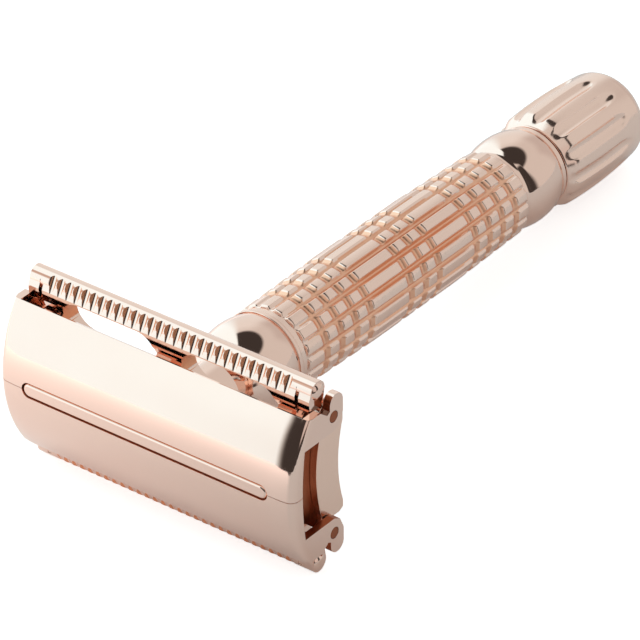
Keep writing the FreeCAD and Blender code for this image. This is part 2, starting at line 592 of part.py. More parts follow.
def centre_bar():
    """Bar that fills the slot between the closed doors and locates the blade."""
    body = new_body("centre_bar")
    plan = obround("-1 * bar_reach", "bar_reach", "0", "bar_round")
    extrude(body, "Pad", outline(body, "XZ_Plane", plan), "4 * tray_front")
    # What stands in front of the doors or behind the tray's face is cut off
    front = block("-3 * tray_front", 0, "-1 * bar_width", "bar_width")
    extrude(body, "Pocket", outline(body, "YZ_Plane", front), "2 * head_length")
    behind = [("bar_foot", "-1 * bar_width", "tray_radius", RIGHT), ("bar_foot", "bar_width"),
              ("3 * tray_front", "bar_width"), ("3 * tray_front", "-1 * bar_width")]
    extrude(body, "Pocket", outline(body, "YZ_Plane", behind), "2 * head_length")
    return body


def end_bracket(name, side):
    """Bow-shaped plate at one end of the tray that carries two door pins."""
    body = new_body(name)
    boss, back = "bracket_boss_radius", "pin_depth + bracket_boss_radius"
    upper = [("wing_front", "wing"),
             (f"pin_depth - {boss}", "pin_offset", boss, RIGHT),
             ("pin_depth", f"pin_offset + {boss}", boss, RIGHT),
             (back, "pin_offset"),
             (back, "wing + bracket_corner / 3"),
             ("wing_back - bracket_corner", "wing + bracket_corner / 3"),
             ("wing_back", "wing - bracket_corner / 6")]
    corners = [("wing_front", "-1 * wing", "bracket_curve", RIGHT), *upper,
               ("wing_back", "flare", "bracket_curve", LEFT),
               ("wing_back", "-1 * flare"),
               ("wing_back", "bracket_corner / 6 - wing"),
               ("wing_back - bracket_corner", "-1 * wing - bracket_corner / 3"),
               (back, "-1 * wing - bracket_corner / 3"),
               (back, "-1 * pin_offset", boss, RIGHT),
               ("pin_depth", f"-1 * pin_offset - {boss}", boss, RIGHT),
               (f"pin_depth - {boss}", "-1 * pin_offset")]
    plate = outline(body, "YZ_Plane", corners, offset=f"{side} * bracket_middle")
    extrude(body, "Pad", plate, "bracket_sheet")
    for height in ("pin_offset", "-1 * pin_offset"):
        cross_hole(body, "pin_radius", "pin_depth", height)
    return body


def hinge_pins():
    """The four pins that the doors turn on, riveted into the end brackets."""
    pins = []
    for side in (1, -1):
        for half in (1, -1):
            pin = document.addObject("Part::Cylinder", "pin")
            bind(pin, "Radius", "pin_radius")
            bind(pin, "Height", "head_length / 2 - bracket_inner")
            start = "bracket_inner" if side > 0 else "-1 * head_length / 2"
            place(pin, start, "pin_depth", f"{half} * pin_offset", "0; 1; 0", 90)
            pins.append(pin)
    group = document.addObject("Part::Compound", "hinge_pins")
    group.Label = "hinge_pins"
    group.Links = pins
    lay_down(group)
    return group


def lift_rod():
    """Rod from the tray into the spindle: round, with two flats in the guide bush."""
    body = turned("lift_rod", [(0, "bar_foot"), ("rod_tenon", "bar_foot"), ("rod_tenon", "tray_back"),
                               ("rod_radius", "tray_back"), ("rod_radius", "rod_end"), (0, "rod_end")])
    for low, high in (("rod_flats / 2", "2 * rod_radius"), ("-2 * rod_radius", "-1 * rod_flats / 2")):
        solid_box(body, "Subtractive", (low, high), ("spigot_end", "stop_start"),
                  ("-2 * rod_radius", "2 * rod_radius"))
    return body


def stop_ring():
    """Ring on the lift rod that meets the guide bush when the doors are fully open."""
    return ring("stop_ring", "rod_radius", "stop_radius", "stop_start", "stop_start + stop_sheet")


# ---------------------------------------------------------------------------------------------
# Doors
# ---------------------------------------------------------------------------------------------
def door(name, lower):
    """One of the two curved doors with its end plates; the lower one is the upper one mirrored."""
    body = new_body(name)
    shell = [("seam_front", "seam_half", "door_radius", RIGHT), ("door_edge", "door_half_width"),
             ("inner_edge", "inner_half_width", "door_inner_radius", LEFT), ("seam_back", "seam_half")]
    extrude(body, "Pad", outline(body, "YZ_Plane", shell, lower), "head_length")
    tip = "ear_tip_radius"
    plate = [("seam_front", "seam_half", "door_radius", RIGHT),
             ("plate_corner", "plate_top"),
             ("notch_front", "plate_top"),
             (f"tip_depth - {tip} - ear_tip_back", "notch_floor"),
             (f"tip_depth - {tip}", "notch_floor + ear_tip_back / 2"),
             (f"tip_depth - {tip}", "tip_height", tip, RIGHT),
             ("tip_depth", f"tip_height + {tip}", tip, RIGHT),
             (f"tip_depth + {tip}", "tip_height"),
             ("pin_depth + ear_back", "pin_offset"),
             ("pin_depth + ear_heel", "window_half_height + ear_tip_back"),
             ("pin_depth", "window_half_height"),
             ("strip_end", "window_half_height", "strip_swell_radius", LEFT),
             ("strip_seam", "seam_half")]
    end = extrude(body, "Pad", outline(body, "YZ_Plane", plate, lower, "plate_middle"), "end_plate")
    mirror_ends(body, [end, end_rounding(body)])
    cross_hole(body, "hole_radius", "pin_depth", "-1 * pin_offset" if lower else "pin_offset")
    plan = obround("-1 * bar_reach", "bar_reach", "0", "bar_slot_round")
    extrude(body, "Pocket", outline(body, "XZ_Plane", plan), "4 * tray_front")
    return body


def end_rounding(body):
    """Bend the curved outside gently, then round its edge with the right end plate."""
    past_end, past_front = "head_length / 2 + end_round", "-1 * door_radius - end_round"
    corners = [("bend_start", "-1 * door_radius", "end_lead_radius", LEFT),
               ("bend_stop", "-1 * bend_height", "end_round", LEFT),
               ("head_length / 2", "-1 * end_height"),
               (past_end, "-1 * end_height"),
               (past_end, past_front),
               ("bend_start", past_front)]
    sketch = outline(body, "XY_Plane", corners)
    # The sketch's own first axis becomes the centre line of the doors' curve
    bind(sketch, "AttachmentOffset.Base.y", "door_radius")
    return turn_profile(body, "Groove", sketch, "H_Axis")


# ---------------------------------------------------------------------------------------------
# Guard
# ---------------------------------------------------------------------------------------------
def guard_plate():
    """Base of the head: hollow middle, two scalloped guard bars, four lather slots and a boss."""
    body = new_body("guard_plate")
    nose = "guard_bar_radius"
    half = [("arch_end_depth", "arch_end"),
            ("face_depth", "crease_height"),
            ("face_depth - face_bulge", "bar_centre - face_bulge_drop"),
            ("bar_front", "bar_centre", nose, RIGHT),
            ("guard_bar_depth", "guard_half_width", nose, RIGHT),
            ("bar_back", "bar_centre"),
            ("guard_arm_back", "bar_floor"),
            ("guard_back", "slot_floor")]
    corners = [("arch_end_depth", "-1 * arch_end", "guard_radius", RIGHT), *half,
               ("guard_back", "-1 * slot_floor"),
               ("guard_arm_back", "-1 * bar_floor"),
               ("bar_back", "-1 * bar_centre", nose, RIGHT),
               ("guard_bar_depth", "-1 * guard_half_width", nose, RIGHT),
               ("bar_front", "-1 * bar_centre"),
               ("face_depth - face_bulge", "face_bulge_drop - bar_centre"),
               ("face_depth", "-1 * crease_height")]
    extrude(body, "Pad", outline(body, "YZ_Plane", corners), "2 * lug_end")
    through = "4 * guard_back"
    for low, high in (("body_end", "head_length"), ("-1 * head_length", "-1 * body_end")):
        cut = block(low, high, "-1 * lug_floor", "lug_floor")
        extrude(body, "Pocket", outline(body, "XZ_Plane", cut), through)
    for low, high in (("slot_start", "slot_stop"), ("-1 * slot_stop", "-1 * slot_start")):
        for height in ("slot_centre", "-1 * slot_centre"):
            slot = outline(body, "XZ_Plane", obround(low, high, height, "slot_round"))
            extrude(body, "Pocket", slot, through)
    lug_notches(body)
    for height in ("bar_centre", "-1 * bar_centre"):
        mirror_ends(body, [bar_peg(body, height)])
    axis_cylinder(body, "Additive", "boss_radius", "guard_arm_back", "collar_start")
    axis_cylinder(body, "Additive", "spigot_radius", "collar_start", "spigot_end")
    axis_cylinder(body, "Subtractive", "guide_hole", 0, "2 * spigot_end")
    scallops(body)
    return body


def bar_peg(body, height):
    """Round end of a guard bar, beyond the lugs and into the notch of an end plate."""
    corners = [("body_end", 0), ("peg_end", 0), ("peg_end", "peg_radius - peg_round", "peg_round", LEFT),
               ("peg_bend", "peg_radius"), ("body_end", "peg_radius")]
    sketch = outline(body, "XY_Plane", corners, offset=height)
    # The sketch's own first axis becomes the centre line of the bar's rounding
    bind(sketch, "AttachmentOffset.Base.y", "guard_bar_depth")
    return turn_profile(body, "Revolution", sketch, "H_Axis")


def lug_notches(body):
    """Upright notches that part the four end lugs from the scalloped bars."""
    depth = ("face_depth - 2 * notch_depth", "face_depth + notch_depth")
    for x_range in (("upright_notch", "upright_notch + notch_width"),
                    ("-1 * upright_notch - notch_width", "-1 * upright_notch")):
        for z_range in (("crease_height - crease_run / 2", "bar_centre + notch_rise"),
                        ("-1 * bar_centre - notch_rise", "crease_run / 2 - crease_height")):
            solid_box(body, "Subtractive", x_range, depth, z_range)


def scallops(body):
    """Row of slanting scallops across the rounding of each guard bar."""
    for height, turn in (("tooth_height", "-1 * tooth_tilt"), ("-1 * tooth_height", "tooth_tilt - 180")):
        cutter = solid_cylinder(body, "Subtractive", "tooth_radius", "tooth_length",
                                "-1 * tooth_row / 2", "tooth_start", height, "1; 0; 0", turn)
        repeat_along(body, [cutter], "tooth_row", "tooth_count")


# ---------------------------------------------------------------------------------------------
# Handle
# ---------------------------------------------------------------------------------------------
def handle_collar():
    """Domed collar between the guard and the barrel."""
    return turned("handle_collar", [
        ("spigot_radius", "collar_start"),
        ("boss_radius", "collar_start", "collar_dome_bulge", LEFT),
        ("collar_dome_radius", "collar_step"),
        ("collar_dome_radius - collar_step_depth", "collar_step"),
        ("collar_dome_radius - collar_step_depth", "collar_rim"),
        ("collar_rim_radius", "collar_rim"),
        ("collar_rim_radius", "barrel_start"),
        ("bore_radius", "barrel_start"),
        ("bore_radius", "spigot_end"),
        ("spigot_radius", "spigot_end")])


def handle_barrel():
    """Tube, slightly fuller in the middle, with lengthwise grooves and three bands of round grooves."""
    body = turned("handle_barrel", [
        ("bore_radius", "barrel_start"),
        ("barrel_neck_radius", "barrel_start"),
        ("barrel_neck_radius", "neck_stop"),
        ("barrel_end_radius", "knurl_start"),
        ("barrel_middle_radius", "knurl_start + taper_length"),
        ("barrel_middle_radius", "barrel_end - taper_length"),
        ("barrel_end_radius", "barrel_end - barrel_edge", "barrel_edge", LEFT),
        ("barrel_end_radius - barrel_edge", "barrel_end"),
        ("bore_radius", "barrel_end")])
    wedge = [("flute_floor", 0),
             ("flute_floor + 2 * flute_middle_depth", "-1 * flute_width"),
             ("flute_floor + 2 * flute_middle_depth", "flute_width")]
    flute = extrude(body, "Pocket", outline(body, "XZ_Plane", wedge), "4 * barrel_end")
    repeat_round(body, [flute], "flute_count")
    for groove in RINGS:
        wedge = [(f"{groove}_floor", groove),
                 (f"{groove}_floor + 2 * ring_depth", f"{groove} + ring_width"),
                 (f"{groove}_floor + 2 * ring_depth", f"{groove} - ring_width")]
        turn_profile(body, "Groove", outline(body, "XY_Plane", wedge))
    return body


def handle_end_bead():
    """End piece of the barrel with a rounded bead between two necks; the spindle turns in it."""
    return turned("handle_end_bead", [
        ("spindle_hole", "spigot_face"), ("bore_radius", "spigot_face"), ("bore_radius", "barrel_end"),
        ("cove_radius", "barrel_end"), ("cove_radius", "cove_end"),
        ("bead_edge_radius", "bead_start", "bead_swell_radius", LEFT), ("bead_edge_radius", "bead_stop"),
        ("neck_radius", "neck_start"), ("neck_radius", "bead_end"), ("spindle_hole", "bead_end")])


def guide_bush():
    """Bush in the collar and the barrel whose flat-sided hole keeps the lift rod from turning."""
    body = turned("guide_bush", block(0, "bore_radius", "spigot_end", "bush_end"))
    hole = [("flat_half", "-1 * flat_height"),
            ("flat_half", "flat_height", "guide_hole", LEFT),
            ("-1 * flat_half", "flat_height"),
            ("-1 * flat_half", "-1 * flat_height", "guide_hole", LEFT)]
    extrude(body, "Pocket", outline(body, "XZ_Plane", hole), "4 * bush_end")
    return body


# ---------------------------------------------------------------------------------------------
# Knob and spindle
# ---------------------------------------------------------------------------------------------
def spindle():
    """Tube fixed in the knob; its thread moves the lift rod, its flange runs on the thrust washer."""
    return turned("spindle", [
        ("guide_hole", "spindle_start"), ("spindle_radius", "spindle_start"),
        ("spindle_radius", "flange_start"), ("flange_radius", "flange_start"),
        ("flange_radius", "flange_end"), ("spindle_radius", "flange_end"),
        ("spindle_radius", "spindle_end"), (0, "spindle_end"),
        (0, "spindle_floor"), ("guide_hole", "spindle_floor")])


def knob():
    """Fluted knob with a rounded end."""
    body = turned("knob", [
        ("spindle_radius", "recess_floor"), ("recess_radius", "recess_floor"),
        ("recess_radius", "knob_start"), ("knob_front_radius", "knob_start"),
        ("shoulder_radius", "shoulder_depth", "knob_swell_radius", LEFT),
        ("knob_end_radius", "round_depth", "knob_round", LEFT),
        ("knob_end_radius - knob_round", "knob_end"), (0, "knob_end"),
        (0, "spindle_end"), ("spindle_radius", "spindle_end")])
    flute = body.newObject("PartDesign::SubtractiveCylinder", "flute")
    bind(flute, "Radius", "knob_flute_radius")
    bind(flute, "Height", "knob_length")
    # Along the handle, its far end turned outwards so that the flute runs out before the end
    flute.setExpression("Placement", "placement(vector(dims.knob_flute_floor + dims.knob_flute_radius;"
                                     " dims.knob_start - dims.knob_flute_lead; 0);"
                                     " rotation(-dims.flute_tilt; 0; -90))")
    repeat_round(body, [flute], "knob_flute_count")
    return body


# ---------------------------------------------------------------------------------------------
# Build, check and write
# ---------------------------------------------------------------------------------------------
fill_sheet()
pieces = [
    guard_plate(), handle_collar(), handle_barrel(), handle_end_bead(), guide_bush(),
    ring("thrust_washer", "spindle_hole", "flange_radius", "washer_start", "spigot_face"),
    ring("spring_washer", "spindle_hole", "spring_radius", "bead_end", "bead_end + spring_sheet"),
    blade_tray(), centre_bar(), end_bracket("end_bracket_right", 1), end_bracket("end_bracket_left", -1),
    hinge_pins(), lift_rod(), stop_ring(),
    door("door_upper", False), door("door_lower", True),
    knob(), spindle(),
]
document.recompute()
for item in document.Objects:
    if "Invalid" in item.State or "Error" in item.State:
        raise RuntimeError(f"{item.Name} ({item.Label}) failed: {item.State}")
for piece in pieces:
    if piece.Shape.isNull() or not piece.Shape.isValid():
        raise RuntimeError(f"{piece.Label} has no valid shape")
os.makedirs("parts", exist_ok=True)
for piece in pieces:
    piece.Shape.exportStep(f"parts/{piece.Label}.step")
    print(f"{piece.Label:20s} {len(piece.Shape.Solids)} solid(s) {piece.Shape.Volume:10.2f} mm3")
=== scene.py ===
# %% [markdown]
# # A butterfly safety razor in polished rose gold
#
# The razor is all one finish: brass pieces plated in rose gold and polished until they are mirrors.
# A mirror has hardly any colour pattern of its own. What the eye reads is the shape of each surface,
# through what it reflects. So this lesson spends its time on exact, smooth shapes, and on a studio
# with a few clear things to reflect: a bright window, a white table, a dark ceiling.
#
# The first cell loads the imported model. Each of its nodes is one piece of the razor, in metres.

# %% Load the razor
import json
import math
import bmesh
import bpy
from mathutils import Matrix, Vector


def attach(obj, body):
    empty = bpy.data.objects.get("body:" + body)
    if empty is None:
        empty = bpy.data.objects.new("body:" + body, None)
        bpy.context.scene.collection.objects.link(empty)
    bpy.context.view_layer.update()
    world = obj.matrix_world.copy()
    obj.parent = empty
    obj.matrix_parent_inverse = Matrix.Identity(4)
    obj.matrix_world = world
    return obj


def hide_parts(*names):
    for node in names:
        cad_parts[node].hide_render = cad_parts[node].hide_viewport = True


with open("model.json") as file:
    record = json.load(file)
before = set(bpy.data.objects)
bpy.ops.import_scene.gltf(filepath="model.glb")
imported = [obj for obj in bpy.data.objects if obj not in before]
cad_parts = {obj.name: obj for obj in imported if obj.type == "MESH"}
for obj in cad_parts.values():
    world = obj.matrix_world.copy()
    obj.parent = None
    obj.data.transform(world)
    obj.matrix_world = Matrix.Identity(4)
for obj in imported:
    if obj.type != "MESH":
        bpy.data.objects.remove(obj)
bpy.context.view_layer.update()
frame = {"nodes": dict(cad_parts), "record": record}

MM = 0.001
print("pieces:", ", ".join(sorted(frame["nodes"])))

# %% [markdown]
# ## The handle's own axes
#
# The razor lies on one guard bar and on its knob, so its handle leans a few degrees. Turned pieces
# are far easier to draw along a straight axis. We draw them with the handle along +Y and the front
# of the doors at 0, then put them in place with one matrix. The record's mount on the knob's end
# tells where that axis is and where it points.

# %% From the handle's axes to the table
HANDLE_LENGTH = 90.4 * MM
knob_end = next(m for m in frame["record"]["mounts"] if m["name"] == "knob_end")
along = Vector(knob_end["axis"]).normalized()
across = Vector((1, 0, 0))
front = Vector(knob_end["pos_m"]) - HANDLE_LENGTH * along
LIE_DOWN = Matrix.Translation(front) @ Matrix((across, along, across.cross(along))).transposed().to_4x4()
print(f"the handle leans {math.degrees(math.asin(-along.z)):.2f} degrees")

# %% [markdown]
# ## Finish: polished rose-gold plate
#
# Real plate is not perfectly even. Polishing leaves faint swirls, handling leaves a trace of haze,
# and the plate is a touch redder where the buffing wheel could not reach. One node group makes this
# haze and swirl from two noises in object coordinates. Every metal here uses it with its own
# amounts, so the pieces look related.

# %% Helpers for nodes
def new_group(name, inputs, outputs):
    """An empty shader node group with these named sockets; returns it with its two end nodes."""
    group = bpy.data.node_groups.new(name, "ShaderNodeTree")
    for label, kind, value in inputs:
        socket = group.interface.new_socket(label, in_out="INPUT", socket_type=kind)
        if value is not None:
            socket.default_value = value
    for label, kind in outputs:
        group.interface.new_socket(label, in_out="OUTPUT", socket_type=kind)
    return group, group.nodes.new("NodeGroupInput"), group.nodes.new("NodeGroupOutput")


def node(tree, kind, links=(), **settings):
    """A new node: settings go on the node itself, and each (input, source) pair is linked or set."""
    made = tree.nodes.new(kind)
    for name, value in settings.items():
        setattr(made, name, value)
    for name, source in links:
        if isinstance(source, bpy.types.NodeSocket):
            tree.links.new(source, made.inputs[name])
        else:
            made.inputs[name].default_value = source
    return made


print("helpers for nodes:", new_group.__name__, node.__name__)

# %% Node group: polish
polish, given, result = new_group(
    "polish",
    [("Colour", "NodeSocketColor", None), ("Warm colour", "NodeSocketColor", None),
     ("Gloss", "NodeSocketFloat", 0.05), ("Haze", "NodeSocketFloat", 0.04),
     ("Swirl", "NodeSocketFloat", 0.05)],
    [("Colour", "NodeSocketColor"), ("Roughness", "NodeSocketFloat"), ("Normal", "NodeSocketVector")])
place = node(polish, "ShaderNodeTexCoord").outputs["Object"]
clouds = node(polish, "ShaderNodeTexNoise", [("Vector", place), ("Scale", 160.0), ("Detail", 3.0)])
grain = node(polish, "ShaderNodeTexNoise", [("Vector", place), ("Scale", 2600.0), ("Detail", 2.0)])
haze = node(polish, "ShaderNodeMath", [(0, clouds.outputs["Fac"]), (1, given.outputs["Haze"]),
                                       (2, given.outputs["Gloss"])], operation="MULTIPLY_ADD")
tint = node(polish, "ShaderNodeMix", [("Factor", clouds.outputs["Fac"]), (6, given.outputs["Colour"]),
                                      (7, given.outputs["Warm colour"])], data_type="RGBA")
swirl = node(polish, "ShaderNodeBump", [("Strength", given.outputs["Swirl"]), ("Distance", 0.00002),
                                        ("Height", grain.outputs["Fac"])])
polish.links.new(tint.outputs[2], result.inputs["Colour"])
polish.links.new(haze.outputs[0], result.inputs["Roughness"])
polish.links.new(swirl.outputs["Normal"], result.inputs["Normal"])
print("polish group:", len(polish.nodes), "nodes")

# %% [markdown]
# ## The metals
#
# Rose gold is on all that shows, but not all of it is equally bright. The grip and the knob are worn
# by hands. Grooves, scallops and the slot round the centre bar are duller, and their colour is painted
# redder: painted shade and painted warm light bounced between their walls. The inside of the head is
# painted dark red: painted shade of its deep pockets. The end brackets are a little softer and warmer.
# The guide bush, the spindle and the stop ring inside are turned brass, and the lift rod with its
# washers is ground steel. Each metal is a Principled BSDF of full metallic, whose colour, roughness
# and normal come from the polish group.

# %% Materials
def metal(name, colour, warm, gloss, haze, swirl):
    """A metal of that colour, with the polish group's haze and swirl."""
    made = bpy.data.materials.new(name)
    made.use_nodes = True
    tree = made.node_tree
    shader = tree.nodes["Principled BSDF"]
    shader.inputs["Metallic"].default_value = 1.0
    finish = node(tree, "ShaderNodeGroup", node_tree=polish)
    for socket, value in (("Colour", (*colour, 1)), ("Warm colour", (*warm, 1)), ("Gloss", gloss),
                          ("Haze", haze), ("Swirl", swirl)):
        finish.inputs[socket].default_value = value
    tree.links.new(finish.outputs["Colour"], shader.inputs["Base Color"])
    tree.links.new(finish.outputs["Roughness"], shader.inputs["Roughness"])
    tree.links.new(finish.outputs["Normal"], shader.inputs["Normal"])
    return made


ROSE_GOLD = metal("rose_gold", (0.93, 0.67, 0.56), (0.92, 0.64, 0.53), 0.05, 0.03, 0.02)
GRIP = metal("rose_gold_grip", (0.94, 0.69, 0.58), (0.93, 0.66, 0.55), 0.13, 0.05, 0.05)
# Groove metal: duller, and its red colour is painted shade and painted warm bounce light in the grooves.
GROOVES_WARM_SHADE = metal("rose_gold_grooves_warm_shade", (0.93, 0.54, 0.37), (0.89, 0.46, 0.29), 0.26, 0.08, 0.2)
BRACKETS = metal("rose_gold_brackets", (0.98, 0.70, 0.57), (0.96, 0.66, 0.53), 0.16, 0.05, 0.05)
# As-cut metal: duller, and its red colour is painted warm light and shade that bounce between close walls.
AS_CUT_WARM_SHADE = metal("rose_gold_as_cut_warm_shade", (0.95, 0.46, 0.27), (0.90, 0.38, 0.20), 0.4, 0.12, 0.3)
# Dark red metal: painted shade, standing for the deep pockets in the head, round the pins and on the tray's
# ends.
INSIDE_SHADE = metal("rose_gold_inside_shade", (0.40, 0.13, 0.06), (0.30, 0.08, 0.03), 0.3, 0.1, 0.3)
BRASS = metal("turned_brass", (0.86, 0.66, 0.36), (0.80, 0.58, 0.30), 0.2, 0.1, 0.3)
STEEL = metal("ground_steel", (0.62, 0.60, 0.58), (0.56, 0.55, 0.54), 0.25, 0.12, 0.4)
METALS = (ROSE_GOLD, GRIP, GROOVES_WARM_SHADE, BRACKETS, AS_CUT_WARM_SHADE, INSIDE_SHADE, BRASS, STEEL)
print("metals:", ", ".join(made.name for made in METALS))

# %% [markdown]
# ## Stamped pieces
#
# The doors, the guard, the tray and its brackets are stamped and milled. Their shapes come straight
# from the model, as loose triangles. Loose triangles shade flat, and in a mirror every flat facet
# shows. A copy with its corners merged can do better, if each corner gets the right normal.
#
# `soften` works that normal out. Around a corner it adds up the normals of the faces that turn by less
# than a limit, each weighted by its area. A large flat face then stays flat right up to its edge, and
# the small facets of a curve blend into each other.

# %% Helper: exact normals
def soften(mesh, limit):
    """Sets a normal at every face corner: the area-weighted mean of the faces that turn less than limit."""
    around = [[] for _ in mesh.vertices]
    for face in mesh.polygons:
        for corner in face.vertices:
            around[corner].append(face.index)
    normals = [face.normal.copy() for face in mesh.polygons]
    areas = [face.area for face in mesh.polygons]
    least = math.cos(math.radians(limit))
    made = []
    for face in mesh.polygons:
        own = normals[face.index]
        for corner in face.vertices:
            total = Vector()
            for other in around[corner]:
                if own.dot(normals[other]) > least:
                    total += normals[other] * areas[other]
            made.append(total.normalized() if total.length else own)
    mesh.shade_smooth()
    mesh.normals_split_custom_set(made)


print("a door has", len(frame["nodes"]["door_upper"].data.polygons), "loose triangles to soften")

# %% [markdown]
# `finished` turns a bmesh into an object that stands for its part of the model, rides on the body
# that moves it and wears its metal. Turned pieces need no exact normals: their grids are fine, so
# smooth shading with sharp edges is enough.

# %% Helper: a finished piece
BODY_OF = {part: body for body, parts in frame["record"]["behaviour"]["bodies"].items() for part in parts}


def finished(shape, part, metal_used, limit, turned=False):
    """Makes a mesh object of a bmesh: it stands for that part, rides on its body, and is plated."""
    mesh = bpy.data.meshes.new(part + "_plated")
    shape.to_mesh(mesh)
    shape.free()
    if turned:
        mesh.shade_smooth()
        mesh.set_sharp_from_angle(angle=math.radians(limit))
    else:
        soften(mesh, limit)
    mesh.materials.append(metal_used)
    piece = bpy.data.objects.new(part + "_plated", mesh)
    bpy.context.scene.collection.objects.link(piece)
    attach(piece, BODY_OF[part])
    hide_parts(part)
    return piece


# %% [markdown]
# A stamped piece starts as `merged_copy`: doubles removed, and the triangles of each flat face
# dissolved into one face, so that a bevel runs along whole edges. `ease_edges` then breaks the sharp
# edges, and `set_slot` gives chosen faces another metal, one whose colour is painted shade or painted bounce
# light.

# %% Helpers for stamped pieces
def merged_copy(part):
    """A bmesh of a part of the model with its corners merged and its flat faces in one piece."""
    shape = bmesh.new()
    shape.from_mesh(frame["nodes"][part].data)
    bmesh.ops.remove_doubles(shape, verts=shape.verts, dist=1e-6)
    bmesh.ops.dissolve_limit(shape, angle_limit=math.radians(0.2), verts=shape.verts, edges=shape.edges)
    return shape


def ease_edges(shape, width, least, steps, chosen=lambda edge: True):
    """Rounds the edges that turn outwards by more than least degrees and that are chosen."""
    edges = [edge for edge in shape.edges if len(edge.link_faces) == 2 and edge.is_convex
             and edge.calc_face_angle() > math.radians(least) and chosen(edge)]
    bmesh.ops.bevel(shape, geom=edges, affect="EDGES", offset=width * MM, offset_type="OFFSET",
                    segments=steps, profile=0.5, material=-1, clamp_overlap=True)
    return len(edges)


HOME = LIE_DOWN.inverted()
SMOOTH = 16     # degrees: faces of a stamped piece that turn by less shade as one surface
SHARP = 50      # degrees: an edge that turns by more is eased


def set_slot(shape, chosen, slot=1):
    """Gives another material slot to the faces that are chosen by their area, middle and normal."""
    for face in shape.faces:
        middle = HOME @ face.calc_center_median() / MM
        if chosen(face.calc_area() / MM ** 2, middle, HOME.to_3x3() @ face.normal):
            face.material_index = slot


print(f"edges over {SHARP} degrees are eased, turns under {SMOOTH} degrees shade smooth")

# %% Guard, brackets and pins
SCALLOP_AREA, SCALLOPED = 0.5, 17       # mm2 of the largest wall of a scallop, half length of their row in mm


def on_scallop(area, middle, normal):
    """True for the side walls of the scallops."""
    return area < SCALLOP_AREA and abs(middle.x) < SCALLOPED and abs(normal.x) > 0.3


guard = merged_copy("guard_plate")
# The scallop walls get the as-cut metal: duller, and painted red for the warm light and shade between the
# teeth.
set_slot(guard, on_scallop)
piece = finished(guard, "guard_plate", ROSE_GOLD, SMOOTH)
piece.data.materials.append(AS_CUT_WARM_SHADE)
# The brackets are plain; the hinge pins wear the dark red metal, painted shade as if each pin sat deep in its
# hole.
for part, metal_used in (("end_bracket_right", BRACKETS), ("end_bracket_left", BRACKETS),
                         ("hinge_pins", INSIDE_SHADE)):
    shape = merged_copy(part)
    ease_edges(shape, 0.08, SHARP, 2)
    piece = finished(shape, part, metal_used, SMOOTH)
    print(f"{part}: {len(piece.data.polygons)} faces")

# %% [markdown]
# ### Doors and centre bar
#
# The doors are bent sheet: their edges are broken just enough to catch a line of light. The bar
# between them is rounder. Its front edges are eased by a third of a millimetre, so that its
# reflection swings from dark to white across its width. The walls of the slot between them are dull
# and painted red, a painted glow of warm light bounced between them, so a thin warm line, and not a
# black one, runs round the bar. The edges of the end arms that look into the head are painted dark
# red: painted shade, like that on the ends of the tray.

# %% Doors and centre bar
SLOT_HALF, ARM_DEPTH, ARM_SIDE = 1.3, 3.2, 20      # mm: half the slot, and where the end arms begin


def on_slot(area, middle, normal):
    """True for the walls of the slot and the parting line between the doors."""
    return abs(middle.z) < SLOT_HALF and abs(normal.z) > 0.5


def on_arm(area, middle, normal):
    """True for the narrow edges of the end arms that look into the head or forwards."""
    on_edge = middle.y > ARM_DEPTH and abs(middle.x) > ARM_SIDE and abs(normal.x) < 0.3
    return on_edge and (middle.z * normal.z < 0 or normal.y < -0.5)


for part in ("door_upper", "door_lower"):
    door = merged_copy(part)
    ease_edges(door, 0.07, SHARP, 2)
    # Slot walls get the as-cut metal, painted red for warm bounce light; inner edges of the end arms get the
    # dark red metal, painted shade.
    set_slot(door, on_slot)
    set_slot(door, on_arm, slot=2)
    piece = finished(door, part, ROSE_GOLD, SMOOTH)
    piece.data.materials.append(AS_CUT_WARM_SHADE)
    piece.data.materials.append(INSIDE_SHADE)
    print(f"{part}: {len(piece.data.polygons)} faces")

bar = merged_copy("centre_bar")
nose = min((HOME @ corner.co).y for corner in bar.verts) + 0.05 * MM
ease_edges(bar, 0.36, SHARP, 6, lambda edge: max((HOME @ corner.co).y for corner in edge.verts) < nose)
# Faces of the bar that do not face forwards get the as-cut metal: painted warm bounce light in the slot round
# it.
set_slot(bar, lambda area, middle, normal: normal.y > -0.2)
piece = finished(bar, "centre_bar", ROSE_GOLD, SMOOTH)
piece.data.materials.append(AS_CUT_WARM_SHADE)
print("centre_bar:", len(piece.data.polygons), "faces")

# %% [markdown]
# ## Turned pieces
#
# Collar, bead, barrel and knob come off a lathe. A lathe is a profile turned round an axis, and
# `bmesh.ops.spin` does just that. The profile is a row of (depth along the handle, radius) pairs in
# millimetres. Real turned corners are never knife sharp: `eased` cuts each corner with a short arc,
# and that narrow arc is what catches the light along an edge.

# %% Helpers for profiles
def eased(corners, steps=4):
    """Profile points from (depth, radius, easing) corners: each corner is rounded by about that much."""
    points = []
    for i, (depth, radius, ease) in enumerate(corners):
        here = Vector((depth, radius))
        if not ease or i in (0, len(corners) - 1):
            points.append(here)
            continue
        to_last = Vector(corners[i - 1][:2]) - here
        to_next = Vector(corners[i + 1][:2]) - here
        cut = min(ease, to_last.length * 0.49, to_next.length * 0.49)
        a, b = here + to_last.normalized() * cut, here + to_next.normalized() * cut
        for k in range(steps + 1):
            s = k / steps
            points.append(a * (1 - s) ** 2 + here * 2 * s * (1 - s) + b * s * s)
    return points


